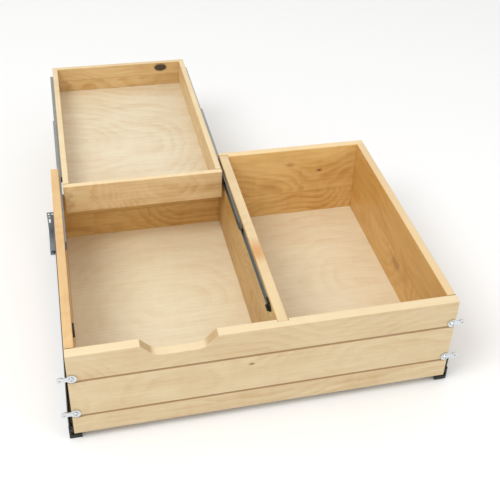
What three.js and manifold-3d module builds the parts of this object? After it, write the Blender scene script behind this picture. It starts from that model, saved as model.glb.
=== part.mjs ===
// A two-tier drawer organizer insert for a base cabinet. A wide maple drawer box with one divider
// rides on full-extension undermount runners. A shallow half-width tray rides over its left bay on
// ball-bearing slides let into grooves, and pushes back over the cut-down part of the back panel.
// Millimetres, +Z up, the front faces -Y. The origin is the bottom centre of the whole object.
import * as THREE from 'three';
import { mergeVertices } from 'three/addons/utils/BufferGeometryUtils.js';
import Module from 'manifold-3d';

// ---- Driving dimensions -------------------------------------------------------------------
const GAP = 0.3; // clearance between pieces that meet
const EASE = 2; // radius on the edges of the boards

// drawer box
const BOX_WIDTH = 673;
const BOX_DEPTH = 537;
const BOX_HEIGHT = 184;
const BOX_LIFT = 16; // the box stands this far above the runners' underside
const FRONT_THICK = 19;
const SIDE_THICK = 16;
const BACK_THICK = 16;
const DIVIDER_THICK = 19;
const LEFT_BAY_WIDTH = 333;
const FLOOR_THICK = 6;
const FLOOR_RECESS = 9; // from the lower edge of the box to the underside of the floor
const FLOOR_GROOVE = 6;
const DADO_DEPTH = 6;
const LOW_BACK_HEIGHT = 118; // the back panel behind the left bay, under the tray
const RUNNER_NOTCH_WIDTH = 8;

// finger scoop in the top edge of the front panel, and the two beads routed across its face
const SCOOP_TOP = 128;
const SCOOP_BOTTOM = 81;
const SCOOP_DEPTH = 25;
const SCOOP_CORNER = 12;
const BEAD_HEIGHTS = [42.5, 125];
const BEAD_WIDTH = 6;
const BEAD_DEPTH = 3.2;

// dovetails
const TAIL_TIP = 20;
const TAIL_ROOT = 15;
const TAIL_PITCH = 32;
const FRONT_LAP = 7; // wood left in front of the half-blind tails

// tray
const TRAY_WIDTH = 321;
const TRAY_DEPTH = 516;
const TRAY_HEIGHT = 65;
const TRAY_THICK = 12;
const TRAY_FLOOR = 4;
const TRAY_RABBET = 6;
const TRAY_LAP = 4;
const TRAY_LIFT = 125.5; // underside of the tray above the lower edge of the drawer box
const TRAY_CLOSED = 21; // front of the tray when it is closed, behind the front face of the box
const TRAY_PUSHED = 436; // how far back the tray stands from its closed place
const TRAY_TAIL_TIP = 14;
const TRAY_TAIL_ROOT = 11;
const TRAY_TAIL_HEIGHTS = [12, 33.5, 54];
const BADGE_WIDTH = 31;
const BADGE_HEIGHT = 19;
const BADGE_INSET = 59;
const BADGE_DROP = 12.5;

// tray slides, 27 mm ball-bearing slides sunk into the walls
const SLIDE_HEIGHT = 27;
const SLIDE_SINK = 6.7;
const SLIDE_REACH = 6; // from the wall's face to the tray's side
const SLIDE_DROP = 20; // centre of the slide below the top edge of the box
const GROOVE_FRONT = 52;
const SLIDE_FRONT = 72;
const SLIDE_LENGTH = 457;
const STOP_LENGTH = 14;
const MEMBER_FRONT = SLIDE_FRONT + STOP_LENGTH + 0.5;
const CAGE_FRONT = 205;
const CAGE_LENGTH = 200;
const WALL_SCREWS = [110, 495];
const TRAY_SCREWS = [90, 470];

// undermount runners, measured outwards from the outer face of the drawer side
const SHEET = 1.2;
const PROFILE_SHEET = 1.5;
const RUNNER_OUT = 8;
const RUNNER_IN = 13;
const RUNNER_HEIGHT = 52;
const RUNNER_FRONT = 8;
const RUNNER_REAR = 541;
const RUNNER_LIP = 7.5;
const CABINET_SCREWS = [60, 250, 440];
const CABINET_SCREW_HEIGHT = 42;
const CABINET_SCREW_HOLE = 2.6;
const CAP_FRONT = 5;
const CAP_FOOT = 8;
const CAP_HEIGHT = 29;
const CARRIAGE_FRONT = 30;
const CARRIAGE_LENGTH = 490;
const DRAWER_PROFILE_FRONT = 22;
const DRAWER_PROFILE_REAR = 535;
const ROLLER_CAGE_LENGTH = 190;
const ROLLER_PITCH = 21;
const ROLLER_INSET = 1;
const CAGE_WEB = 1.6;
const LOWER_CAGE_FRONT = 150;
const UPPER_CAGE_FRONT = 205;
const LOCK_FRONT = 20;
const LOCK_REAR = 78;
const LEVER_FRONT = 22;
const LEVER_PIVOT = 60;

// rear mounting brackets
const BRACKET_OUT = 21;
const BRACKET_FRONT = 506;
const BRACKET_REAR = 589.5;
const BRACKET_TOP = 53;
const BRACKET_IN = 5;
const BRACKET_LOW = 1;
const BRACKET_SCREW_OUT = 15.4;
const BRACKET_SCREW_INSET = 6;

// door clips on the front face
const CLIP_DISC = 16.5;
const CLIP_RING = 12.5;
const CLIP_SPACING = 18;
const CLIP_THICK = 2.2;
const CLIP_INSET = 7;
const CLIP_ABOVE_BEAD = 9.5;
const CLIP_HEAD = 3;
const PILOT = 2.1;

// ---- Derived places -----------------------------------------------------------------------
const HALF = BOX_WIDTH / 2;
const LOW = BOX_LIFT;
const TOP = BOX_LIFT + BOX_HEIGHT;
const INNER_LEFT = -HALF + SIDE_THICK;
const INNER_RIGHT = HALF - SIDE_THICK;
const DIVIDER_LEFT = INNER_LEFT + LEFT_BAY_WIDTH;
const DIVIDER_RIGHT = DIVIDER_LEFT + DIVIDER_THICK;
const BACK_FACE = BOX_DEPTH - BACK_THICK;
const FLOOR_LOW = LOW + FLOOR_RECESS;
const FLOOR_TOP = FLOOR_LOW + FLOOR_THICK;
const LOW_BACK_TOP = LOW + LOW_BACK_HEIGHT;
const SLIDE_Z = TOP - SLIDE_DROP;
const TRAY_LEFT = INNER_LEFT + SLIDE_REACH;
const TRAY_LOW = LOW + TRAY_LIFT;
const TRAY_FRONT = TRAY_CLOSED + TRAY_PUSHED;
const CLIP_FRONT = GAP * 2 + CLIP_THICK + CLIP_HEAD;
const MIDDLE_Y = (TRAY_FRONT + TRAY_DEPTH - CLIP_FRONT) / 2;

// ---- Colours ------------------------------------------------------------------------------
const MAPLE = { color: 0xdcc08f, roughness: 0.5, metalness: 0 };
const PLY = { color: 0xe2cda4, roughness: 0.55, metalness: 0 };
const ZINC = { color: 0xb4b8ba, roughness: 0.35, metalness: 1 };
const BLACK_PLASTIC = { color: 0x1b1a19, roughness: 0.45, metalness: 0 };
const GREY_PLASTIC = { color: 0x6e7072, roughness: 0.5, metalness: 0 };
const BRONZE = { color: 0x4a4238, roughness: 0.4, metalness: 0.9 };

// ---- Shape helpers ------------------------------------------------------------------------
const wasm = await Module();
wasm.setup();

const X = new THREE.Vector3(1, 0, 0);
const Y = new THREE.Vector3(0, 1, 0);
const Z = new THREE.Vector3(0, 0, 1);

/** A closed three.js geometry as a solid that can be joined and cut. */
function solid(geometry) {
  for (const name of Object.keys(geometry.attributes)) {
    if (name !== 'position') geometry.deleteAttribute(name);
  }
  const merged = mergeVertices(geometry, 1e-4);
  return new wasm.Manifold(
    new wasm.Mesh({
      numProp: 3,
      vertProperties: Float32Array.from(merged.attributes.position.array),
      triVerts: Uint32Array.from(merged.index.array),
    }),
  );
}

/** A named mesh of a solid. */
function part(name, shape, look) {
  const cut = shape.getMesh();
  const geometry = new THREE.BufferGeometry();
  geometry.setAttribute('position', new THREE.BufferAttribute(cut.vertProperties, 3));
  geometry.setIndex(new THREE.BufferAttribute(cut.triVerts, 1));
  geometry.computeVertexNormals();
  const mesh = new THREE.Mesh(geometry, new THREE.MeshStandardMaterial(look));
  mesh.name = name;
  return mesh;
}

/** A rectangular block between two opposite corners, given in either order. */
function block([xa, ya, za], [xb, yb, zb]) {
  const box = new THREE.BoxGeometry(Math.abs(xb - xa), Math.abs(yb - ya), Math.abs(zb - za));
  return solid(box.translate((xa + xb) / 2, (ya + yb) / 2, (za + zb) / 2));
}

function outline(points) {
  return new THREE.Shape(points.map(([a, b]) => new THREE.Vector2(a, b)));
}

/** An outline drawn out by a length along the third of three axes, the first two being its own. */
function drawn(shape, across, up, along, length, curveSegments) {
  const made = new THREE.ExtrudeGeometry(shape, { depth: length, bevelEnabled: false, curveSegments });
  return made.applyMatrix4(new THREE.Matrix4().makeBasis(across, up, along));
}

/** An outline in X and Z, drawn out along Y. */
function alongY(shape, y0, y1, curveSegments = 6) {
  return solid(drawn(shape, X, Z, Y.clone().negate(), y1 - y0, curveSegments).translate(0, y1, 0));
}

/** An outline in Y and Z, drawn out along X. */
function alongX(shape, xa, xb, curveSegments = 6) {
  const x0 = Math.min(xa, xb);
  return solid(drawn(shape, Y, Z, X, Math.abs(xb - xa), curveSegments).translate(x0, 0, 0));
}

/** An outline in X and Y, drawn out along Z. */
function alongZ(shape, z0, z1, curveSegments = 6) {
  return solid(drawn(shape, X, Y, Z, z1 - z0, curveSegments).translate(0, 0, z0));
}

/** A rectangle with round corners, between its lower left and upper right corners. */
function roundedRectangle([u0, v0], [u1, v1], radius) {
  const shape = new THREE.Shape();
  shape.absarc(u0 + radius, v0 + radius, radius, Math.PI, Math.PI * 1.5, false);
  shape.absarc(u1 - radius, v0 + radius, radius, Math.PI * 1.5, Math.PI * 2, false);
  shape.absarc(u1 - radius, v1 - radius, radius, 0, Math.PI / 2, false);
  shape.absarc(u0 + radius, v1 - radius, radius, Math.PI / 2, Math.PI, false);
  return shape;
}

/** A board between its lowest and highest corners, with all its edges eased. */
function board([x0, y0, z0], [x1, y1, z1]) {
  return alongX(roundedRectangle([y0, z0], [y1, z1], EASE), x0 - 1, x1 + 1, 1)
    .intersect(alongY(roundedRectangle([x0, z0], [x1, z1], EASE), y0 - 1, y1 + 1, 1))
    .intersect(alongZ(roundedRectangle([x0, y0], [x1, y1], EASE), z0 - 1, z1 + 1, 1));
}

/** A straight round bar along one axis, from its start for a length. */
function bar(axis, radius, start, length, sides = 12) {
  const round = new THREE.CylinderGeometry(radius, radius, length, sides);
  if (axis === X) round.rotateZ(Math.PI / 2);
  if (axis === Z) round.rotateX(Math.PI / 2);
  const middle = axis.clone().multiplyScalar(length / 2);
  return solid(round.translate(start[0] + middle.x, start[1] + middle.y, start[2] + middle.z));
}

function join(shapes) {
  return shapes.reduce((whole, shape) => whole.add(shape));
}

/** The heights of the tails' middles, spread evenly between two heights. */
function tailHeights(low, high) {
  const count = Math.floor((high - low - 4) / TAIL_PITCH);
  const first = (low + high - (count - 1) * TAIL_PITCH) / 2;
  return Array.from({ length: count }, (_, i) => first + i * TAIL_PITCH);
}

/** Tails from their root to their tip, in a board that stands across X. */
function tails([x0, x1], root, tip, heights, [tipWide, rootWide], grow = 0) {
  const past = Math.sign(root - tip);
  return join(heights.map((z) => alongX(outline([
    [root + past, z - rootWide / 2 - grow],
    [root, z - rootWide / 2 - grow],
    [tip - past * grow, z - tipWide / 2 - grow],
    [tip - past * grow, z + tipWide / 2 + grow],
    [root, z + rootWide / 2 + grow],
    [root + past, z + rootWide / 2 + grow],
  ]), x0, x1)));
}

/** A board, which reaches to its tails' tips, with the wood between its tails cut away. */
function cutToTails(wood, [x0, x1], root, tip, heights, size, zoneTop = TOP + 1) {
  const past = Math.sign(tip - root);
  const waste = block([x0 - 1, root, -1], [x1 + 1, tip + past, zoneTop]);
  return wood.subtract(waste.subtract(tails([x0 - 2, x1 + 2], root, tip, heights, size)));
}

// ---- Drawer box ---------------------------------------------------------------------------
const BOX_TAIL = [TAIL_TIP, TAIL_ROOT];
const fullTails = tailHeights(LOW, TOP);
const lowTails = tailHeights(LOW, LOW_BACK_TOP);
const LEFT_END = [-HALF - 1, INNER_LEFT + GAP];
const RIGHT_END = [INNER_RIGHT - GAP, HALF + 1];

const CLIPS = [-1, 1].flatMap((hand) => BEAD_HEIGHTS.map((height, level) => ({
  name: `${hand < 0 ? 'left' : 'right'}_${level ? 'upper' : 'lower'}_door_clip`,
  hand,
  x: hand * (HALF - CLIP_INSET),
  z: LOW + height + CLIP_ABOVE_BEAD,
})));
const clipPilots = join(CLIPS.map(({ x, z }) => bar(Y, PILOT, [x, -1, z], 15)));

const SLIDES = [
  { side: 'left', wall: INNER_LEFT, facing: 1 },
  { side: 'right', wall: DIVIDER_LEFT, facing: -1 },
];

/** The space that the floor panel's edge needs, from one corner to the other. */
function floorSlot(x0, x1, y0, y1) {
  return block([x0, y0, FLOOR_LOW - GAP], [x1, y1, FLOOR_TOP + GAP]);
}

/** The round-ended groove for a tray slide, with its screws' pilot holes. */
function slideGroove({ wall, facing }) {
  const radius = SLIDE_HEIGHT / 2;
  const shape = new THREE.Shape();
  shape.absarc(GROOVE_FRONT + radius, SLIDE_Z, radius, Math.PI / 2, Math.PI * 1.5, false);
  shape.lineTo(BOX_DEPTH + 1, SLIDE_Z - radius);
  shape.lineTo(BOX_DEPTH + 1, SLIDE_Z + radius);
  const deep = wall - facing * SLIDE_SINK;
  const pilots = WALL_SCREWS.map((y) => bar(X, PILOT, [deep - 8, y, SLIDE_Z], 16));
  const pilotZone = block([deep - facing * 8, 0, SLIDE_Z - 5], [deep + facing, BOX_DEPTH, SLIDE_Z + 5]);
  return alongX(shape, deep, wall + facing, 12).add(join(pilots).intersect(pilotZone));
}

function sideBoard(hand) {
  const left = hand < 0;
  const wall = left ? INNER_LEFT : INNER_RIGHT;
  const across = left ? [-HALF, wall] : [wall, HALF];
  const full = board([across[0], FRONT_LAP + GAP, LOW], [across[1], BOX_DEPTH, TOP]);
  const jointTop = left ? LOW_BACK_TOP + GAP : TOP + 1;
  const backHeights = left ? lowTails : fullTails;
  const front = cutToTails(full, across, FRONT_THICK + GAP, FRONT_LAP + GAP, fullTails, BOX_TAIL);
  const tailed = cutToTails(front, across, BACK_FACE - GAP, BOX_DEPTH, backHeights, BOX_TAIL, jointTop);
  const slot = floorSlot(wall - hand, wall + hand * (FLOOR_GROOVE + GAP), FRONT_THICK, BACK_FACE);
  const cuts = left ? [slot, clipPilots, slideGroove(SLIDES[0])] : [slot, clipPilots];
  return tailed.subtract(join(cuts));
}

/** The finger scoop, with sloping ends, rounded lower corners and a rounded lip on both faces. */
function scoop(centre) {
  const low = TOP - SCOOP_DEPTH;
  const flat = SCOOP_BOTTOM / 2;
  const slope = (SCOOP_TOP - SCOOP_BOTTOM) / 2;
  const run = (SCOOP_CORNER * slope) / Math.hypot(slope, SCOOP_DEPTH);
  const rise = (SCOOP_CORNER * SCOOP_DEPTH) / Math.hypot(slope, SCOOP_DEPTH);
  const above = EASE * 2;
  const mouth = SCOOP_TOP / 2 + (above * slope) / SCOOP_DEPTH;
  const shape = new THREE.Shape();
  shape.moveTo(centre - mouth, TOP + above);
  shape.lineTo(centre - flat - run, low + rise);
  shape.quadraticCurveTo(centre - flat, low, centre - flat + SCOOP_CORNER, low);
  shape.lineTo(centre + flat - SCOOP_CORNER, low);
  shape.quadraticCurveTo(centre + flat, low, centre + flat + run, low + rise);
  shape.lineTo(centre + mouth, TOP + above);
  const flared = new THREE.ExtrudeGeometry(shape, {
    depth: FRONT_THICK - 2 * EASE,
    curveSegments: 8,
    bevelThickness: EASE + 0.02,
    bevelSize: -EASE,
    bevelOffset: EASE,
    bevelSegments: 3,
  });
  flared.applyMatrix4(new THREE.Matrix4().makeBasis(X, Z, Y.clone().negate()));
  return solid(flared.translate(0, FRONT_THICK - EASE, 0));
}

/** The routed bead, an oval groove half sunk in the front face. */
function bead(height) {
  const shape = new THREE.Shape();
  shape.absellipse(0, LOW + height, BEAD_DEPTH, BEAD_WIDTH / 2, 0, Math.PI * 2);
  return alongX(shape, -HALF - 1, HALF + 1, 10);
}

function frontPanel() {
  const sockets = [LEFT_END, RIGHT_END].map((end) => (
    tails(end, FRONT_THICK, FRONT_LAP + GAP, fullTails, BOX_TAIL, GAP)
  ));
  const inside = FRONT_THICK + 1;
  const dado = block(
    [DIVIDER_LEFT - GAP, FRONT_THICK - DADO_DEPTH - GAP, FLOOR_LOW],
    [DIVIDER_RIGHT + GAP, inside, TOP + 1],
  );
  const slot = floorSlot(
    INNER_LEFT - FLOOR_GROOVE - GAP,
    INNER_RIGHT + FLOOR_GROOVE + GAP,
    FRONT_THICK - FLOOR_GROOVE - GAP,
    inside,
  );
  return board([-HALF, 0, LOW], [HALF, FRONT_THICK, TOP]).subtract(join([
    ...sockets,
    ...BEAD_HEIGHTS.map(bead),
    clipPilots,
    scoop((INNER_LEFT + DIVIDER_LEFT) / 2),
    slot,
    dado,
  ]));
}

function backPanel() {
  const dado = block(
    [DIVIDER_LEFT - GAP, BACK_FACE - 1, FLOOR_LOW],
    [DIVIDER_RIGHT + GAP, BACK_FACE + DADO_DEPTH + GAP, TOP + 1],
  );
  const notches = [[INNER_LEFT, 1], [INNER_RIGHT, -1]].map(([x, inwards]) => block(
    [x - inwards, BACK_FACE - 1, LOW - 1],
    [x + inwards * RUNNER_NOTCH_WIDTH, BOX_DEPTH + 1, FLOOR_LOW],
  ));
  const slot = floorSlot(
    INNER_LEFT - FLOOR_GROOVE - GAP,
    INNER_RIGHT + FLOOR_GROOVE + GAP,
    BACK_FACE - 1,
    BACK_FACE + FLOOR_GROOVE + GAP,
  );
  return board([-HALF, BACK_FACE, LOW], [HALF, BOX_DEPTH, TOP]).subtract(join([
    block([-HALF - 1, BACK_FACE - 1, LOW_BACK_TOP], [DIVIDER_LEFT, BOX_DEPTH + 1, TOP + 1]),
    tails(LEFT_END, BACK_FACE, BOX_DEPTH + 1, lowTails, BOX_TAIL, GAP),
    tails(RIGHT_END, BACK_FACE, BOX_DEPTH + 1, fullTails, BOX_TAIL, GAP),
    dado,
    slot,
    ...notches,
    slideGroove(SLIDES[1]),
  ]));
}

function dividerBoard() {
  return board(
    [DIVIDER_LEFT, FRONT_THICK - DADO_DEPTH, FLOOR_TOP + GAP],
    [DIVIDER_RIGHT, BACK_FACE + DADO_DEPTH, TOP],
  ).subtract(slideGroove(SLIDES[1]));
}

function bottomPanel() {
  return block(
    [INNER_LEFT - FLOOR_GROOVE, FRONT_THICK - FLOOR_GROOVE, FLOOR_LOW],
    [INNER_RIGHT + FLOOR_GROOVE, BACK_FACE + FLOOR_GROOVE, FLOOR_TOP],
  );
}

// ---- Tray, drawn with its left front lower corner at the origin -----------------------------
const TRAY_TAIL = [TRAY_TAIL_TIP, TRAY_TAIL_ROOT];
const TRAY_STEP = TRAY_THICK - TRAY_RABBET;

/** The rabbet round the underside that the tray's floor sits in. */
function trayRabbet() {
  return block(
    [TRAY_STEP - GAP, TRAY_STEP - GAP, -1],
    [TRAY_WIDTH - TRAY_STEP + GAP, TRAY_DEPTH - TRAY_STEP + GAP, TRAY_FLOOR + GAP],
  );
}

/** The front or back of the tray, with sockets for the tails of its sides. */
function trayCross(front) {
  const y0 = front ? 0 : TRAY_DEPTH - TRAY_THICK;
  const root = front ? TRAY_THICK : TRAY_DEPTH - TRAY_THICK;
  const tip = front ? TRAY_LAP + GAP : TRAY_DEPTH - TRAY_LAP - GAP;
  const ends = [[-1, TRAY_THICK + GAP], [TRAY_WIDTH - TRAY_THICK - GAP, TRAY_WIDTH + 1]];
  const sockets = ends.map((end) => tails(end, root, tip, TRAY_TAIL_HEIGHTS, TRAY_TAIL, GAP));
  return board([0, y0, 0], [TRAY_WIDTH, y0 + TRAY_THICK, TRAY_HEIGHT])
    .subtract(join([...sockets, trayRabbet()]));
}

function traySide(left) {
  const across = left ? [0, TRAY_THICK] : [TRAY_WIDTH - TRAY_THICK, TRAY_WIDTH];
  const front = TRAY_THICK + GAP;
  const back = TRAY_DEPTH - TRAY_THICK - GAP;
  const pilots = TRAY_SCREWS.map((y) => (
    bar(X, PILOT, [left ? -1 : TRAY_WIDTH - 8, y, SLIDE_Z - TRAY_LOW], 9)
  ));
  const reach = TRAY_LAP + GAP * 2;
  const full = board([across[0], reach, 0], [across[1], TRAY_DEPTH - reach, TRAY_HEIGHT]);
  const fronted = cutToTails(full, across, front, reach, TRAY_TAIL_HEIGHTS, TRAY_TAIL);
  return cutToTails(fronted, across, back, TRAY_DEPTH - reach, TRAY_TAIL_HEIGHTS, TRAY_TAIL)
    .subtract(join([...pilots, trayRabbet()]));
}

function trayFloor() {
  return block([TRAY_STEP, TRAY_STEP, 0], [TRAY_WIDTH - TRAY_STEP, TRAY_DEPTH - TRAY_STEP, TRAY_FLOOR]);
}

/** A plain oval medallion with a raised rim, on the inner face of the tray's back. */
function badge() {
  const oval = (shrink) => {
    const shape = new THREE.Shape();
    shape.absellipse(0, 0, BADGE_WIDTH / 2 - shrink, BADGE_HEIGHT / 2 - shrink, 0, Math.PI * 2);
    return shape;
  };
  return alongY(oval(0), -1.9, -GAP, 12).subtract(alongY(oval(1.6), -3, -1.3, 12));
}

// ---- Tray slides, with sections measured from the wall's face towards the tray --------------
/** A channel from its web to its lips, with the lips turned in by `turn`. */
function channel(web, lip, tall, turn) {
  const sheet = Math.sign(lip - web) * SHEET;
  const lipPoints = [[lip, tall - turn], [lip - sheet, tall - turn], [lip - sheet, tall - SHEET]];
  const upper = [[web, tall], [lip, tall], ...(turn ? lipPoints : [[lip, tall - SHEET]])];
  upper.push([web + sheet, tall - SHEET]);
  return [...upper, ...upper.slice().reverse().map(([a, b]) => [a, -b])];
}

/** A section placed on a wall and drawn along Y. */
function onWall({ wall, facing }, section, y0, y1) {
  return alongY(outline(section.map(([reach, z]) => [wall + facing * reach, SLIDE_Z + z])), y0, y1);
}

/** A thin cage that holds the balls: a web with a narrow flange at each edge. */
function ballCage(place, web, flange, tall, y0) {
  const thin = 0.6;
  const upper = [[web, tall], [flange, tall], [flange, tall - thin], [web + thin, tall - thin]];
  const section = [...upper, ...upper.slice().reverse().map(([a, b]) => [a, -b])];
  return onWall(place, section, y0, y0 + CAGE_LENGTH);
}

/** A turned screw along X or Y, with its head's seat at `start` and its point towards `into`. */
function screw(axis, profile, start, into, sides = 12) {
  const turned = new THREE.LatheGeometry(profile.map(([r, h]) => new THREE.Vector2(r, h)), sides);
  if (axis === X) turned.rotateZ(into > 0 ? -Math.PI / 2 : Math.PI / 2);
  if (axis === Z) turned.rotateX(into > 0 ? Math.PI / 2 : -Math.PI / 2);
  return solid(turned.translate(...start));
}

const FLAT_HEAD = [[0, -1], [3, -1], [3, -0.7], [1.8, 0], [1.8, 6], [0, 7]];
const HEAD_HOLE = 3.3;

function traySlide(place) {
  const { side, wall, facing } = place;
  const outerWeb = -SLIDE_SINK + GAP;
  const innerWeb = SLIDE_REACH - GAP;
  const end = SLIDE_FRONT + SLIDE_LENGTH;
  const holes = (reach, offset, places) => join(places.map((y) => (
    bar(X, HEAD_HOLE, [wall + facing * reach - 2.5, y + offset, SLIDE_Z], 5)
  )));
  const innerFront = MEMBER_FRONT + 1 + TRAY_PUSHED;
  const middleFront = MEMBER_FRONT + TRAY_PUSHED / 2;
  const outer = onWall(place, channel(outerWeb, -0.2, 13.2, 2.6), SLIDE_FRONT, end)
    .subtract(holes(outerWeb, 0, WALL_SCREWS));
  const middle = onWall(place, channel(-3.5, 2.9, 9.8, 0), middleFront, end + TRAY_PUSHED / 2);
  const inner = onWall(place, channel(innerWeb, -1.3, 6.4, 0), innerFront, end + TRAY_PUSHED)
    .subtract(holes(innerWeb, TRAY_FRONT, TRAY_SCREWS));
  const stopSection = [
    [-4.9, 10.2], [3, 10.2], [3, 6.8], [-1.8, 6.8], [-1.8, -6.8], [3, -6.8], [3, -10.2], [-4.9, -10.2],
  ];
  const stop = onWall(place, stopSection, SLIDE_FRONT, SLIDE_FRONT + STOP_LENGTH);
  const outerCageFront = CAGE_FRONT + TRAY_PUSHED / 4;
  const innerCageFront = CAGE_FRONT + (TRAY_PUSHED * 3) / 4;
  const wallSeat = wall + facing * (outerWeb + 0.1);
  const traySeat = wall + facing * (innerWeb - 0.1);
  return [
    part(`${side}_slide_outer_member`, outer, ZINC),
    part(`${side}_slide_middle_member`, middle, ZINC),
    part(`${side}_slide_inner_member`, inner, ZINC),
    part(`${side}_slide_front_stop`, stop, BLACK_PLASTIC),
    part(`${side}_slide_outer_ball_cage`, ballCage(place, -4.9, -1.7, 11.2, outerCageFront), ZINC),
    part(`${side}_slide_inner_ball_cage`, ballCage(place, -2, 3.3, 7.8, innerCageFront), ZINC),
    ...WALL_SCREWS.map((y, i) => part(
      `${side}_slide_wall_screw_${i + 1}`,
      screw(X, FLAT_HEAD, [wallSeat, y, SLIDE_Z], -facing),
      ZINC,
    )),
    ...TRAY_SCREWS.map((y, i) => part(
      `${side}_slide_tray_screw_${i + 1}`,
      screw(X, FLAT_HEAD, [traySeat, TRAY_FRONT + y, SLIDE_Z], facing),
      ZINC,
    )),
  ];
}

// ---- Undermount runners, with sections measured outwards from the drawer side ---------------
/** An outline on the left (-1) or right (1) of the box. */
function outward(hand, section) {
  return outline(section.map(([out, z]) => [hand * (HALF + out), z]));
}

/** The fixed profile: a tall flange for the cabinet wall, a foot and a low inner lip. */
function cabinetProfile(hand) {
  const section = [
    [RUNNER_OUT, 0],
    [RUNNER_OUT, RUNNER_HEIGHT],
    [RUNNER_OUT - PROFILE_SHEET, RUNNER_HEIGHT],
    [RUNNER_OUT - PROFILE_SHEET, PROFILE_SHEET],
    [PROFILE_SHEET - RUNNER_IN, PROFILE_SHEET],
    [PROFILE_SHEET - RUNNER_IN, RUNNER_LIP],
    [-RUNNER_IN, RUNNER_LIP],
    [-RUNNER_IN, 0],
  ];
  const screwHoles = CABINET_SCREWS.map((y) => (
    bar(X, CABINET_SCREW_HOLE, [hand * (HALF + RUNNER_OUT) - 4, y, CABINET_SCREW_HEIGHT], 8)
  ));
  return alongY(outward(hand, section), RUNNER_FRONT, RUNNER_REAR).subtract(join(screwHoles));
}

/** The carriage that runs between the cabinet profile and the drawer profile. */
function carriage(hand) {
  const section = [
    [5.4, 8.4], [5.4, 12.6], [4.2, 12.6], [4.2, 9.6], [-9.8, 9.6], [-9.8, 12.6], [-11, 12.6], [-11, 8.4],
  ];
  return alongY(outward(hand, section), CARRIAGE_FRONT, CARRIAGE_FRONT + CARRIAGE_LENGTH);
}

/** The drawer profile: a plate under the drawer side, two flanges, and a hook behind the side. */
function drawerProfile(hand) {
  const section = [
    [3, 11], [3, 15.7], [-16.3, 15.7], [-16.3, 24.5], [-17.5, 24.5], [-17.5, 14.5],
    [-9.2, 14.5], [-9.2, 11], [-8, 11], [-8, 14.5], [1.8, 14.5], [1.8, 11],
  ];
  return alongY(outward(hand, section), DRAWER_PROFILE_FRONT, DRAWER_PROFILE_REAR);
}

/** Rollers that lie across a runner, held by a flat cage as one moulding. */
function rollerCage(hand, [outA, outB], [zA, zB], y0) {
  const x = (out) => hand * (HALF + out);
  const middle = (zA + zB) / 2;
  const web = block(
    [x(outA), y0, middle - CAGE_WEB / 2],
    [x(outB), y0 + ROLLER_CAGE_LENGTH, middle + CAGE_WEB / 2],
  );
  const count = Math.floor(ROLLER_CAGE_LENGTH / ROLLER_PITCH);
  const near = Math.min(x(outA), x(outB)) + ROLLER_INSET;
  const wide = Math.abs(outA - outB) - 2 * ROLLER_INSET;
  const rollers = Array.from({ length: count }, (_, i) => (
    bar(X, (zB - zA) / 2, [near, y0 + (i + 0.5) * ROLLER_PITCH, middle], wide)
  ));
  return join([web, ...rollers]);
}

/** The plastic cap on the front end, L-shaped so that the drawer passes over its foot. */
function frontCap(hand) {
  const section = [
    [-RUNNER_IN, 0],
    [RUNNER_OUT - 1, 0],
    [RUNNER_OUT + 0.4, 1.4],
    [RUNNER_OUT + 0.4, CAP_HEIGHT],
    [0.4, CAP_HEIGHT],
    [0.4, BOX_LIFT + 0.4],
    [5.9, BOX_LIFT + 0.4],
    [5.9, CAP_FOOT],
    [-RUNNER_IN, CAP_FOOT],
  ];
  const hole = bar(Y, 1.8, [hand * (HALF + 4.4), CAP_FRONT - 1, CAP_HEIGHT - 3.8], 5);
  return alongY(outward(hand, section), CAP_FRONT, RUNNER_FRONT - GAP).subtract(hole);
}

/** The rear bracket: a flange on the runner, a level arm, and an upright plate with its holes. */
function rearBracket(hand) {
  const x = (out) => hand * (HALF + out);
  const flange = RUNNER_OUT + GAP;
  const bend = RUNNER_REAR + GAP;
  const plate = BRACKET_REAR - PROFILE_SHEET;
  const armTop = BRACKET_LOW + PROFILE_SHEET;
  const arm = join([
    block([x(flange), BRACKET_FRONT, BRACKET_LOW], [x(flange + PROFILE_SHEET), bend, BRACKET_TOP / 2]),
    block([x(flange), BRACKET_FRONT, BRACKET_LOW], [x(BRACKET_OUT), BRACKET_REAR, armTop]),
    block([x(BRACKET_IN), bend, BRACKET_LOW], [x(BRACKET_OUT), BRACKET_REAR, armTop]),
    block([x(BRACKET_IN), plate, BRACKET_LOW], [x(BRACKET_OUT), BRACKET_REAR, BRACKET_TOP]),
  ]);
  const slot = new THREE.Shape();
  slot.absarc(x(16.5), 34, 1.9, 0, Math.PI, false);
  slot.absarc(x(16.5), 26, 1.9, Math.PI, Math.PI * 2, false);
  return arm.subtract(join([
    bar(Y, 2.3, [x(17), plate - 1, 48], 4),
    bar(Y, 2.3, [x(9.4), plate - 1, 48], 4),
    bar(Y, 1.9, [x(16.5), plate - 1, 41], 4),
    alongY(slot, plate - 1, BRACKET_REAR + 1, 6),
    bar(Z, 2.4, [x(BRACKET_SCREW_OUT), BRACKET_FRONT + BRACKET_SCREW_INSET, 0], 4),
  ]));
}

const ROUND_HEAD = [[0, -2.4], [3, -2.2], [5, -0.8], [5, 0], [1.9, 0], [1.9, 2.2], [0, 2.2]];

function bracketScrew(hand) {
  const x = hand * (HALF + BRACKET_SCREW_OUT);
  const seat = BRACKET_LOW + PROFILE_SHEET + 0.1;
  return screw(Z, ROUND_HEAD, [x, BRACKET_FRONT + BRACKET_SCREW_INSET, seat], -1, 16);
}

/** The plastic housing under the floor that latches the drawer to its runner. */
function lockingDevice(hand) {
  const x = (out) => hand * (HALF + out);
  const body = block([x(-18.2), LOCK_FRONT, 13], [x(-44), LOCK_REAR, FLOOR_LOW - GAP]);
  const pocket = block([x(-21.5), LOCK_FRONT - 1, 12], [x(-39.5), LEVER_PIVOT + 6, 20]);
  return body.subtract(pocket);
}

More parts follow.
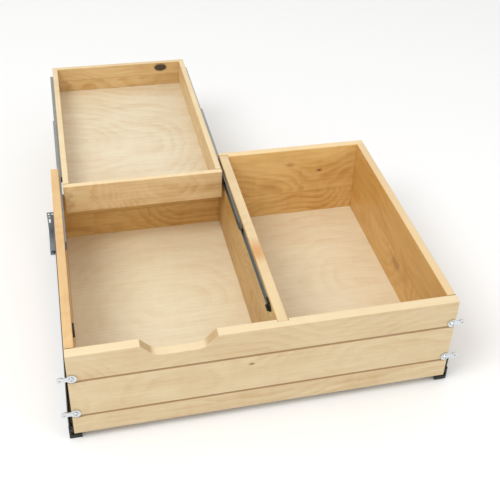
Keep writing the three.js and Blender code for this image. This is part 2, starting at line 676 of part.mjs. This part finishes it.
/** The release lever, a paddle that turns about an upright axis at its rear end. */
function releaseLever(hand) {
  const x = (out) => hand * (HALF + out);
  const paddle = block([x(-28), LEVER_FRONT, 8], [x(-33), LEVER_PIVOT, 14]);
  const grip = block([x(-26.5), LEVER_FRONT, 4], [x(-34.5), LEVER_FRONT + 10, 14]);
  return join([paddle, grip, bar(Z, 4, [x(-30.5), LEVER_PIVOT, 8], 11, 16)]);
}

function runner(hand) {
  const side = hand < 0 ? 'left' : 'right';
  const lowerCage = rollerCage(hand, [5.4, -10.5], [1.9, 8], LOWER_CAGE_FRONT);
  const upperCage = rollerCage(hand, [1.3, -7.6], [10, 14.1], UPPER_CAGE_FRONT);
  return [
    part(`${side}_runner_cabinet_profile`, cabinetProfile(hand), ZINC),
    part(`${side}_runner_carriage`, carriage(hand), ZINC),
    part(`${side}_runner_drawer_profile`, drawerProfile(hand), ZINC),
    part(`${side}_runner_lower_roller_cage`, lowerCage, GREY_PLASTIC),
    part(`${side}_runner_upper_roller_cage`, upperCage, GREY_PLASTIC),
    part(`${side}_runner_front_cap`, frontCap(hand), BLACK_PLASTIC),
    part(`${side}_runner_rear_bracket`, rearBracket(hand), ZINC),
    part(`${side}_runner_bracket_screw`, bracketScrew(hand), ZINC),
    part(`${side}_locking_device`, lockingDevice(hand), GREY_PLASTIC),
    part(`${side}_release_lever`, releaseLever(hand), GREY_PLASTIC),
  ];
}

// ---- Door clips -----------------------------------------------------------------------------
/** A flat figure-8 clip: a disc under its screw and a ring beyond the edge of the front. */
function doorClip({ hand, x, z }) {
  const ring = x + hand * CLIP_SPACING;
  const back = -GAP - CLIP_THICK;
  const neck = 4;
  return join([
    bar(Y, CLIP_DISC / 2, [x, back, z], CLIP_THICK, 28),
    bar(Y, CLIP_RING / 2, [ring, back, z], CLIP_THICK, 24),
    block([x, back, z - neck], [ring, -GAP, z + neck]),
  ]).subtract(join([
    bar(Y, 2.2, [x, back - 1, z], CLIP_THICK + 2),
    bar(Y, 2.4, [ring, back - 1, z], CLIP_THICK + 2, 16),
  ]));
}

const PAN_HEAD = [[0, -3], [2.4, -3], [3.9, -1.9], [4.4, -0.6], [4.4, 0], [1.9, 0], [1.9, 11], [0, 13]];

/** A pan-head screw with a cross recess. */
function clipScrew({ x, z }) {
  const seat = -GAP * 2 - CLIP_THICK;
  const cross = [[2, 0.5], [0.5, 2]].map(([wide, tall]) => block(
    [x - wide, seat - CLIP_HEAD - 1, z - tall],
    [x + wide, seat - CLIP_HEAD + 1.6, z + tall],
  ));
  return screw(Y, PAN_HEAD, [x, seat, z], 1, 16).subtract(join(cross));
}

// ---- Assembly -------------------------------------------------------------------------------
const organizer = new THREE.Group();
organizer.position.y = -MIDDLE_Y;

organizer.add(
  part('front_panel', frontPanel(), MAPLE),
  part('back_panel', backPanel(), MAPLE),
  part('left_side', sideBoard(-1), MAPLE),
  part('right_side', sideBoard(1), MAPLE),
  part('divider', dividerBoard(), MAPLE),
  part('bottom_panel', bottomPanel(), PLY),
);

const tray = new THREE.Group();
tray.position.set(TRAY_LEFT, TRAY_FRONT, TRAY_LOW);
const medallion = part('badge', badge(), BRONZE);
medallion.position.set(TRAY_WIDTH - BADGE_INSET, TRAY_DEPTH - TRAY_THICK, TRAY_HEIGHT - BADGE_DROP);
tray.add(
  part('tray_front', trayCross(true), MAPLE),
  part('tray_back', trayCross(false), MAPLE),
  part('tray_left_side', traySide(true), MAPLE),
  part('tray_right_side', traySide(false), MAPLE),
  part('tray_bottom', trayFloor(), PLY),
  medallion,
);
organizer.add(tray);

for (const place of SLIDES) organizer.add(...traySlide(place));
for (const hand of [-1, 1]) organizer.add(...runner(hand));
for (const clip of CLIPS) {
  organizer.add(part(clip.name, doorClip(clip), ZINC));
  organizer.add(part(`${clip.name}_screw`, clipScrew(clip), ZINC));
}

export default organizer;
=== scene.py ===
"""Looks for the two-tier drawer organizer insert: lacquered maple, birch ply, zinc and plastic."""
import math

import bpy
from mathutils import Matrix, Vector


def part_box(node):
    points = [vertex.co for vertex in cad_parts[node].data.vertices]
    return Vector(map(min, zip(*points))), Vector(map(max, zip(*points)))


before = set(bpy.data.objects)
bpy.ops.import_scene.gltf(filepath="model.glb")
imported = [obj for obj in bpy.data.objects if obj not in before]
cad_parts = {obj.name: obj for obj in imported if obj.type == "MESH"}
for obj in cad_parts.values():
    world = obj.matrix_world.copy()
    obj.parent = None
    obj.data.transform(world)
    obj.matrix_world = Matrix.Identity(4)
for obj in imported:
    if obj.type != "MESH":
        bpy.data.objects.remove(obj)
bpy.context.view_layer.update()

MM = 0.001
LACQUER_IOR = 1.5
PLASTIC_IOR = 1.49
FLOOR_GAP = 0.5 * MM  # the floor lies this far below the runners, so that no faces share a plane


# ---- Node helpers ---------------------------------------------------------------------------
def linear(hex_colour):
    """An sRGB hex colour as linear RGBA."""
    channels = [int(hex_colour[i : i + 2], 16) / 255 for i in (0, 2, 4)]
    curve = [c / 12.92 if c <= 0.04045 else ((c + 0.055) / 1.055) ** 2.4 for c in channels]
    return (*curve, 1)


def add(tree, kind, links=None, **settings):
    """One shader node with its settings, its fixed inputs and its links."""
    node = tree.nodes.new("ShaderNode" + kind)
    for name, value in settings.items():
        setattr(node, name, value)
    for socket, value in (links or {}).items():
        if isinstance(value, bpy.types.NodeSocket):
            tree.links.new(value, node.inputs[socket])
        else:
            node.inputs[socket].default_value = value
    return node


def ramp(tree, value, stops):
    """A colour ramp over a value, with stops of (place, sRGB hex)."""
    node = add(tree, "ValToRGB", {"Fac": value})
    elements = node.color_ramp.elements
    for index, (place, colour) in enumerate(stops):
        stop = elements[index] if index < 2 else elements.new(place)
        stop.position = place
        stop.color = linear(colour)
    return node.outputs["Color"]


def mixed(tree, share, first, second):
    """Two colours mixed by a share."""
    node = add(tree, "Mix", data_type="RGBA")
    for index, value in ((0, share), (6, first), (7, second)):
        if isinstance(value, bpy.types.NodeSocket):
            tree.links.new(value, node.inputs[index])
        else:
            node.inputs[index].default_value = value
    return node.outputs[2]


def stepped(tree, value, low, high, to_low=0.0, to_high=1.0):
    """A value carried smoothly from one range to another and held there."""
    links = {"Value": value, "From Min": low, "From Max": high, "To Min": to_low, "To Max": to_high}
    return add(tree, "MapRange", links, interpolation_type="SMOOTHSTEP").outputs[0]


def math_node(tree, operation, first, second=0.0):
    """One sum on a value and a second value or number."""
    return add(tree, "Math", {0: first, 1: second}, operation=operation).outputs[0]


def new_material(name):
    """A new material with its node tree and its main shader."""
    material = bpy.data.materials.new(name)
    material.use_nodes = True
    tree = material.node_tree
    return material, tree, tree.nodes["Principled BSDF"]


# ---- Wood -----------------------------------------------------------------------------------
# The axis along a board's grain, and how its coordinates turn so that the grain runs along X
# and the face that shows most lies in the new XY plane.
TURN = {
    "x_upright": (math.pi / 2, 0, 0),
    "y_upright": (math.pi / 2, 0, math.pi / 2),
    "x_flat": (0, 0, 0),
}
# How far the grain is moved for the next strip, along it and as a share of that across it, and for
# the next board, through its thickness. In metres, so that no two strips or boards match.
STRIP_JUMP = 1.7
STRIP_SIDEWAYS = 0.013
BOARD_JUMP = 3.7
# The pith drifts over this length of board. Sway and depth are its whole range, across the board
# and through it, and level is the share of the depth that lies on the near side of the face.
PITH_LENGTH = 260 * MM
PITH_SWAY = 150 * MM
PITH_DEPTH = 420 * MM
PITH_LEVEL = 0.36
# The ragged edges on the growth rings.
RAG_LENGTH = 70 * MM
RAG_WIDTH = 16 * MM
LIT_EDGE_CREAM = "f0dcb4"  # painted highlight on upward-facing edges, cream
LIT_EDGE_TAN = "e3bf8a"  # painted highlight on upward-facing edges, tan, for the left side


def grain_space(tree, lay, seed, place, seams):
    """Coordinates with X along the grain, moved at each glued seam, and the one across seams."""
    turned = add(
        tree,
        "VectorRotate",
        {"Vector": place, "Rotation": TURN[lay]},
        rotation_type="EULER_XYZ",
        invert=True,
    )
    parts = add(tree, "SeparateXYZ", {"Vector": place})
    height = parts.outputs["Z"] if "upright" in lay else parts.outputs["Y"]
    strip = 0.0
    for index, seam in enumerate(seams):
        above = math_node(tree, "GREATER_THAN", height, seam)
        jump = math_node(tree, "MULTIPLY", above, STRIP_JUMP + index)
        strip = math_node(tree, "ADD", strip, jump)
    sideways = math_node(tree, "MULTIPLY", strip, STRIP_SIDEWAYS)
    shift = add(tree, "CombineXYZ", {"X": strip, "Y": sideways, "Z": seed * BOARD_JUMP})
    links = {0: turned.outputs[0], 1: shift.outputs[0]}
    return add(tree, "VectorMath", links, operation="ADD").outputs[0], height


def growth_rings(tree, moved, seed, spacing, middle):
    """Rings round a pith that wanders along the board, so that a flat face shows cathedral arcs."""
    local = add(tree, "SeparateXYZ", {"Vector": moved})
    slow = math_node(tree, "DIVIDE", local.outputs["X"], PITH_LENGTH)
    drift_place = add(tree, "CombineXYZ", {"X": slow, "Y": seed * 1.9})
    wander = add(tree, "TexNoise", {"Vector": drift_place.outputs[0], "Scale": 1.0, "Detail": 1.0})
    drift = add(tree, "SeparateColor", {"Color": wander.outputs["Color"]})
    aside = math_node(tree, "SUBTRACT", drift.outputs[0], 0.5)
    sway = math_node(tree, "MULTIPLY", aside, PITH_SWAY)
    through = math_node(tree, "SUBTRACT", drift.outputs[1], PITH_LEVEL)
    depth = math_node(tree, "MULTIPLY", through, PITH_DEPTH)
    rag_scale = (1 / RAG_LENGTH, 1 / RAG_WIDTH, 1 / RAG_WIDTH)
    rag_place = add(tree, "VectorMath", {0: moved, 1: rag_scale}, operation="MULTIPLY").outputs[0]
    rag = add(tree, "TexNoise", {"Vector": rag_place, "Scale": 1.0, "Detail": 2.0}).outputs["Fac"]
    ragged = math_node(tree, "MULTIPLY", rag, RAG_WIDTH)
    across = math_node(tree, "ADD", math_node(tree, "SUBTRACT", local.outputs["Y"], middle), sway)
    away = add(tree, "CombineXYZ", {"X": across, "Y": depth}).outputs[0]
    radius = add(tree, "VectorMath", {0: away}, operation="LENGTH").outputs["Value"]
    turns = math_node(tree, "DIVIDE", math_node(tree, "ADD", radius, ragged), spacing * MM)
    phase = math_node(tree, "FRACT", turns)
    # each ring darkens slowly and ends sharply in its latewood
    slow_side = stepped(tree, phase, 0.15, 0.86)
    sharp_side = stepped(tree, phase, 0.88, 1.0, 1.0, 0.0)
    return math_node(tree, "MULTIPLY", slow_side, sharp_side)


def wood(
    node, name, lay, seed, tones,
    seams=(), figure=1.0, spacing=13, marks=(), strips=(), edge=LIT_EDGE_CREAM,
):
    """Lacquered wood. Its look is soft cathedral figure, fine straight fibre and small dark flecks.

    tones are the pale ground, the warm latewood and the dark fleck. seams are the heights in
    metres of glued joints, where the grain jumps and a hair line shows, and strips say how much
    warmer each board above its seam is. marks are knots and stains, each with its place, its
    reach in millimetres, its strength and its colour. spacing is the rings' pitch in
    millimetres, figure is how strongly they show, and edge is the colour of the painted
    highlight on upward-facing edges.
    """
    material, tree, shader = new_material(name)
    place = add(tree, "TexCoord").outputs["Object"]
    moved, height = grain_space(tree, lay, seed, place, seams)
    low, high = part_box(node)
    middle = (low.z + high.z) / 2 if "upright" in lay else (low.y + high.y) / 2

    def noise(along, across, detail=2.0):
        """Noise with patches of this length along the grain and width across it, in millimetres."""
        scale = (1 / (along * MM), 1 / (across * MM), 1 / (across * MM))
        stretched = add(tree, "VectorMath", {0: moved, 1: scale}, operation="MULTIPLY").outputs[0]
        links = {"Vector": stretched, "Scale": 1.0, "Detail": detail}
        return add(tree, "TexNoise", links).outputs["Fac"]

    rings = growth_rings(tree, moved, seed, spacing, middle)
    patch = noise(150, 60)
    drift = noise(120, 36, 3.0)
    # real fibre and flecks are a few tenths of a millimetre wide: both are coarser here, to show
    fibre = noise(70, 1.1, 3.0)
    fleck = noise(8, 0.9, 1.0)
    # mineral streaks, and the silky ripple that lies across the grain of maple
    streak = noise(150, 4.5)
    ripple = noise(16, 60, 1.0)

    pale, warm, dark = tones
    # the rings show strongly in places and fade out between them
    strength_here = stepped(tree, patch, 0.36, 0.64, 0.06, 0.5 * figure)
    share = math_node(tree, "MULTIPLY", rings, strength_here)
    share = math_node(tree, "ADD", share, stepped(tree, drift, 0.34, 0.68, 0.0, 0.5 * figure))
    share = math_node(tree, "ADD", share, stepped(tree, streak, 0.42, 0.70, 0.0, 0.2))
    colour = ramp(tree, share, [(0.0, pale), (1.0, warm)])
    colour = mixed(tree, stepped(tree, fibre, 0.38, 0.72, 0.0, 0.26), colour, linear(warm))
    colour = mixed(tree, stepped(tree, fleck, 0.66, 0.78, 0.0, 0.34), colour, linear(dark))
    colour = mixed(tree, stepped(tree, ripple, 0.4, 0.62, 0.0, 0.18), colour, linear(pale))

    for index, seam in enumerate(seams):
        above = math_node(tree, "GREATER_THAN", height, seam)
        warmer = strips[index] if index < len(strips) else 0.0
        tint = linear(warm) if warmer > 0 else linear(pale)
        colour = mixed(tree, math_node(tree, "MULTIPLY", above, abs(warmer)), colour, tint)
        away = math_node(tree, "ABSOLUTE", math_node(tree, "SUBTRACT", height, seam))
        line = stepped(tree, away, 0.2 * MM, 1.0 * MM, 0.42, 0.0)
        colour = mixed(tree, line, colour, linear(dark))

    normal = add(tree, "SeparateXYZ", {"Vector": add(tree, "NewGeometry").outputs["Normal"]})
    if "upright" in lay:
        # painted highlight: upward-facing edges are painted paler than the faces, for the light
        # from above
        upper = stepped(tree, normal.outputs["Z"], 0.76, 0.95, 0.0, 0.55)
        colour = mixed(tree, upper, colour, linear(edge))
    long_x, long_y = (0.55, 1.0) if lay.startswith("x") else (1.0, 0.55)
    for spot, reach, strength, tint in marks:
        # knots and stains are about twice as long as they are wide
        offset = add(tree, "VectorMath", {0: place, 1: spot}, operation="SUBTRACT").outputs[0]
        links = {0: offset, 1: (long_x, long_y, 1.0)}
        offset = add(tree, "VectorMath", links, operation="MULTIPLY").outputs[0]
        away = add(tree, "VectorMath", {0: offset}, operation="LENGTH").outputs["Value"]
        ragged = math_node(tree, "MULTIPLY", fibre, reach * 0.5 * MM)
        wobble = math_node(tree, "ADD", away, ragged)
        edge_of_mark = stepped(tree, wobble, reach * 0.3 * MM, reach * MM, strength, 0.0)
        colour = mixed(tree, edge_of_mark, colour, linear(tint))

    # end grain is darker, with a speckle of 1.1 mm; the mask starts early, so that the scoop's
    # slopes also get it as painted shade
    along = normal.outputs["X" if lay.startswith("x") else "Y"]
    end_grain_and_slope_shade = stepped(tree, math_node(tree, "ABSOLUTE", along), 0.5, 0.9, 0.0, 0.7)
    speckle = add(tree, "TexNoise", {"Vector": place, "Scale": 900.0, "Detail": 2.0}).outputs["Fac"]
    grain_end = ramp(tree, speckle, [(0.3, dark), (0.7, warm)])
    colour = mixed(tree, end_grain_and_slope_shade, colour, grain_end)
    if node == "front_panel":
        colour = painted_groove_shade(tree, place, colour, dark, seams)
    tree.links.new(colour, shader.inputs["Base Color"])

    rough = stepped(tree, fibre, 0.3, 0.7, 0.39, 0.51)
    tree.links.new(rough, shader.inputs["Roughness"])
    bump = add(tree, "Bump", {"Height": fibre, "Strength": 0.12, "Distance": 0.2 * MM})
    tree.links.new(bump.outputs["Normal"], shader.inputs["Normal"])
    shader.inputs["IOR"].default_value = LACQUER_IOR
    shader.inputs["Coat Weight"].default_value = 0.12
    shader.inputs["Coat Roughness"].default_value = 0.22
    return material


def painted_groove_shade(tree, place, colour, dark, seams):
    """Painted shade: the bottoms of the routed beads are painted darker, where shade falls in them.
    """
    parts = add(tree, "SeparateXYZ", {"Vector": place})
    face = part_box("front_panel")[0].y
    # from just below the face to the bottom of the bead, and not on the panel's inner side
    groove_shade = stepped(tree, parts.outputs["Y"], face + 0.3 * MM, face + 1.6 * MM, 0.0, 0.62)
    shallow = stepped(tree, parts.outputs["Y"], face + 3.6 * MM, face + 4.4 * MM, 1.0, 0.0)
    groove_shade = math_node(tree, "MULTIPLY", groove_shade, shallow)
    # the bead is 6 mm wide, so its walls stand 3 mm from the seam
    for seam in seams:
        away = math_node(tree, "ABSOLUTE", math_node(tree, "SUBTRACT", parts.outputs["Z"], seam))
        inside = stepped(tree, away, 2.8 * MM, 3.4 * MM, 1.0, 0.0)
        colour = mixed(tree, math_node(tree, "MULTIPLY", inside, groove_shade), colour, linear(dark))
    return colour


# ---- Metals and plastics --------------------------------------------------------------------
def zinc_plate(name, base, dull=0.33, cloud_share=0.35):
    """Zinc-plated steel. Its look is even grey with a faint cloudy bloom and fine rolling lines."""
    material, tree, shader = new_material(name)
    place = add(tree, "TexCoord").outputs["Object"]
    cloud = add(tree, "TexNoise", {"Vector": place, "Scale": 60.0, "Detail": 3.0}).outputs["Fac"]
    # rolling lines 1 mm apart and 60 mm long, coarser than real ones so that they show
    line_scale = (1000.0, 16.0, 1000.0)
    lines = add(tree, "VectorMath", {0: place, 1: line_scale}, operation="MULTIPLY").outputs[0]
    rolled = add(tree, "TexNoise", {"Vector": lines, "Scale": 1.0, "Detail": 2.0}).outputs["Fac"]
    light, dark = base
    bloom = math_node(tree, "MULTIPLY", cloud, cloud_share)
    share = math_node(tree, "ADD", bloom, math_node(tree, "MULTIPLY", rolled, 1 - cloud_share))
    tree.links.new(ramp(tree, share, [(0.3, dark), (0.7, light)]), shader.inputs["Base Color"])
    rough = stepped(tree, rolled, 0.3, 0.7, dull - 0.04, dull + 0.06)
    tree.links.new(rough, shader.inputs["Roughness"])
    bump = add(tree, "Bump", {"Height": rolled, "Strength": 0.10, "Distance": 0.1 * MM})
    tree.links.new(bump.outputs["Normal"], shader.inputs["Normal"])
    shader.inputs["Metallic"].default_value = 1.0
    return material


def moulded_plastic(name, base, dull):
    """Moulded plastic. Its look is an even colour with the fine spark texture of the mould."""
    material, tree, shader = new_material(name)
    place = add(tree, "TexCoord").outputs["Object"]
    # pits of 0.7 mm, coarser than real spark texture so that they show
    spark = add(tree, "TexNoise", {"Vector": place, "Scale": 1400.0, "Detail": 2.0}).outputs["Fac"]
    light, dark = base
    tree.links.new(ramp(tree, spark, [(0.3, dark), (0.7, light)]), shader.inputs["Base Color"])
    rough = stepped(tree, spark, 0.3, 0.7, dull - 0.05, dull + 0.08)
    tree.links.new(rough, shader.inputs["Roughness"])
    bump = add(tree, "Bump", {"Height": spark, "Strength": 0.25, "Distance": 0.1 * MM})
    tree.links.new(bump.outputs["Normal"], shader.inputs["Normal"])
    shader.inputs["IOR"].default_value = PLASTIC_IOR
    return material


def antique_bronze():
    """Darkened bronze. Its look is near black in the hollow, with worn brown on the raised rim."""
    material, tree, shader = new_material("antique_bronze")
    place = add(tree, "TexCoord").outputs["Object"]
    patina = add(tree, "TexNoise", {"Vector": place, "Scale": 420.0, "Detail": 3.0}).outputs["Fac"]
    low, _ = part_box("badge")
    depth = add(tree, "SeparateXYZ", {"Vector": place}).outputs["Y"]
    hollow = stepped(tree, depth, low.y + 0.1 * MM, low.y + 0.5 * MM)
    worn = ramp(tree, patina, [(0.3, "8a7258"), (0.7, "b39a7a")])
    dark = ramp(tree, patina, [(0.3, "3a342e"), (0.7, "6e655a")])
    tree.links.new(mixed(tree, hollow, worn, dark), shader.inputs["Base Color"])
    tree.links.new(stepped(tree, patina, 0.3, 0.7, 0.32, 0.5), shader.inputs["Roughness"])
    shader.inputs["Metallic"].default_value = 0.8
    return material


# ---- Finishes by node -----------------------------------------------------------------------
# the pale ground, the warm latewood and the dark fleck of each wood
FRONT_MAPLE = ("d6c39d", "bf9b69", "946634")
WARM_MAPLE = ("d9b57d", "b98645", "8a5c2c")
RIGHT_MAPLE = ("dbb26b", "ba843a", "8a5c2c")
BACK_MAPLE = ("e9c480", "c48f43", "8f602f")
PALE_MAPLE = ("e0c797", "c69f69", "a0713c")
DIVIDER_MAPLE = ("ccaa6c", "b18445", "8a5f30")
TRAY_MAPLE = ("e6c998", "c59a60", "96682f")
TRAY_BACK_MAPLE = ("d8ba85", "bb8f53", "8f612f")
BIRCH_PLY = ("f1e5c7", "ddc499", "b8925e")
TRAY_PLY = ("e4d8bc", "cfb389", "ae8854")

low_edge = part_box("front_panel")[0].z
front_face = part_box("front_panel")[0].y
bead_seams = (low_edge + 42.5 * MM, low_edge + 125 * MM)
divider_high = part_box("divider")[1]
bay_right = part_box("bottom_panel")[1].x
bay_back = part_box("back_panel")[0].y
tray_low, tray_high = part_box("tray_back")

# each mark is its place, its reach in millimetres, its strength and its colour
FRONT_MARKS = (((-0.032, front_face, low_edge + 0.106), 6, 1.0, "8a5a2c"),)
BACK_MARKS = (
    ((0.238, bay_back, low_edge + 0.125), 7, 1.0, "7d4c22"),
    ((0.170, bay_back, low_edge + 0.146), 12, 0.55, "9c6430"),
    ((0.125, bay_back, low_edge + 0.093), 30, 0.4, "a8702f"),
)
DIVIDER_MARKS = (((0.022, -0.283, divider_high.z), 34, 0.75, "c98a45"),)
RIGHT_MARKS = (((bay_right, -0.245, low_edge + 0.075), 26, 0.7, "8a5a2a"),)

BOARDS = {
    "front_panel": wood(
        "front_panel", "lacquered_maple_front", "x_upright", 1, FRONT_MAPLE,
        seams=bead_seams, figure=0.7, spacing=15, marks=FRONT_MARKS, strips=(-0.2, 0.12),
    ),
    "back_panel": wood(
        "back_panel", "lacquered_maple_back", "x_upright", 2, BACK_MAPLE,
        seams=(low_edge + 72 * MM,), figure=0.9, spacing=15, marks=BACK_MARKS, strips=(-0.15,),
    ),
    "left_side": wood(
        "left_side", "lacquered_maple_left_side", "y_upright", 3, WARM_MAPLE,
        seams=(low_edge + 88 * MM,), edge=LIT_EDGE_TAN,
    ),
    "right_side": wood(
        "right_side", "lacquered_maple_right_side", "y_upright", 4, RIGHT_MAPLE,
        seams=(low_edge + 95 * MM,), figure=0.7, spacing=20, marks=RIGHT_MARKS, strips=(0.3,),
    ),
    "divider": wood(
        "divider", "lacquered_maple_divider", "y_upright", 5, DIVIDER_MAPLE,
        seams=(low_edge + 100 * MM,), marks=DIVIDER_MARKS,
    ),
    "tray_front": wood("tray_front", "lacquered_maple_tray_front", "x_upright", 6, TRAY_MAPLE),
    "tray_back": wood(
        "tray_back", "lacquered_maple_tray_back", "x_upright", 7, TRAY_BACK_MAPLE,
        seams=((tray_low.z + tray_high.z) / 2,),
    ),
    "tray_left_side": wood(
        "tray_left_side", "lacquered_maple_tray_left", "y_upright", 8, PALE_MAPLE
    ),
    "tray_right_side": wood(
        "tray_right_side", "lacquered_maple_tray_right", "y_upright", 9, PALE_MAPLE
    ),
    "bottom_panel": wood(
        "bottom_panel", "birch_ply_bottom", "x_flat", 10, BIRCH_PLY, figure=0.42, spacing=30
    ),
    "tray_bottom": wood(
        "tray_bottom", "birch_ply_tray_bottom", "x_flat", 11, TRAY_PLY, figure=0.6, spacing=24
    ),
}
BRIGHT_ZINC = zinc_plate("bright_zinc_plate", ("e4e8ec", "c9ced3"), 0.26)
SLIDE_ZINC = zinc_plate("clear_zinc_slide", ("b4b6b2", "999b97"), 0.32)
# painted shade: the runners' zinc is a darker copy of the slides' zinc, for the shade the runners
# sit in
SHADED_RUNNER_ZINC = zinc_plate("shaded_zinc_runner", ("8b8b88", "737370"), 0.42)
BRACKET_ZINC = zinc_plate("blue_zinc_bracket", ("a9aeb3", "8f9499"), 0.38)
SCREW_STEEL = zinc_plate("oiled_steel_screw", ("5c5f62", "44474a"), 0.35)
BLACK_ABS = moulded_plastic("black_abs", ("201e1d", "131211"), 0.45)
GREY_NYLON = moulded_plastic("grey_nylon", ("7d8082", "65686a"), 0.5)
BRONZE = antique_bronze()


def finish_of(node):
    """The material of a CAD node, from what the piece is made of."""
    if node in BOARDS:
        return BOARDS[node]
    if node == "badge":
        return BRONZE
    if "clip" in node:
        return BRIGHT_ZINC
    if node.endswith("bracket_screw"):
        return SCREW_STEEL
    if "bracket" in node:
        return BRACKET_ZINC
    if "profile" in node or "carriage" in node:
        return SHADED_RUNNER_ZINC
    if "stop" in node or "cap" in node:
        return BLACK_ABS
    if "roller" in node or "locking" in node or "lever" in node:
        return GREY_NYLON
    return SLIDE_ZINC


for node_name, node_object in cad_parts.items():
    node_object.data.materials.clear()
    node_object.data.materials.append(finish_of(node_name))


# ---- Stage, light and camera ----------------------------------------------------------------
def floor():
    """A plain pale floor under the runners."""
    bpy.ops.mesh.primitive_plane_add(size=30, location=(0, 0, -FLOOR_GAP))
    made = bpy.context.object
    made.name = "floor"
    material, _, shader = new_material("matt_white_floor")
    shader.inputs["Base Color"].default_value = linear("f4f4f3")
    shader.inputs["Roughness"].default_value = 0.9
    made.data.materials.append(material)


def area_light(name, place, target, size, power):
    """A round soft light of this width in metres, aimed at a target."""
    data = bpy.data.lights.new(name, "AREA")
    data.shape = "DISK"
    data.size = size
    data.energy = power
    light = bpy.data.objects.new(name, data)
    light.location = place
    light.rotation_mode = "QUATERNION"
    light.rotation_quaternion = (Vector(target) - Vector(place)).to_track_quat("-Z", "Y")
    bpy.context.scene.collection.objects.link(light)


def studio():
    """A pale room with a broad key from the upper left and a weak fill from the right."""
    world = bpy.data.worlds.new("studio")
    world.use_nodes = True
    background = world.node_tree.nodes["Background"]
    background.inputs["Color"].default_value = linear("ffffff")
    background.inputs["Strength"].default_value = 0.85
    bpy.context.scene.world = world
    area_light("key", (-1.6, -1.2, 2.6), (0, 0, 0.1), 1.6, 42)
    area_light("fill", (2.2, -1.8, 1.6), (0, 0, 0.1), 2.0, 12)
    bpy.context.scene.view_settings.view_transform = "Standard"
    bpy.context.scene.view_settings.look = "None"


def camera():
    """The camera looks down at the object from its front left."""
    data = bpy.data.cameras.new("camera")
    data.lens = 62.58
    data.sensor_width = 36
    data.shift_x = -0.042
    data.shift_y = -0.1
    data.clip_start = 0.05
    made = bpy.data.objects.new("camera", data)
    azimuth, elevation, roll = (math.radians(angle) for angle in (-15.59, 35.81, -3.1))
    away = Vector((
        math.sin(azimuth) * math.cos(elevation),
        -math.cos(azimuth) * math.cos(elevation),
        math.sin(elevation),
    ))
    level = (-away).to_track_quat("-Z", "Y").to_matrix().to_4x4()
    turn = level @ Matrix.Rotation(-roll, 4, "Z")
    made.matrix_world = Matrix.Translation(Vector((-292.6, -1481.7, 1210.4)) * MM) @ turn
    bpy.context.scene.collection.objects.link(made)
    bpy.context.scene.camera = made


floor()
studio()
camera()
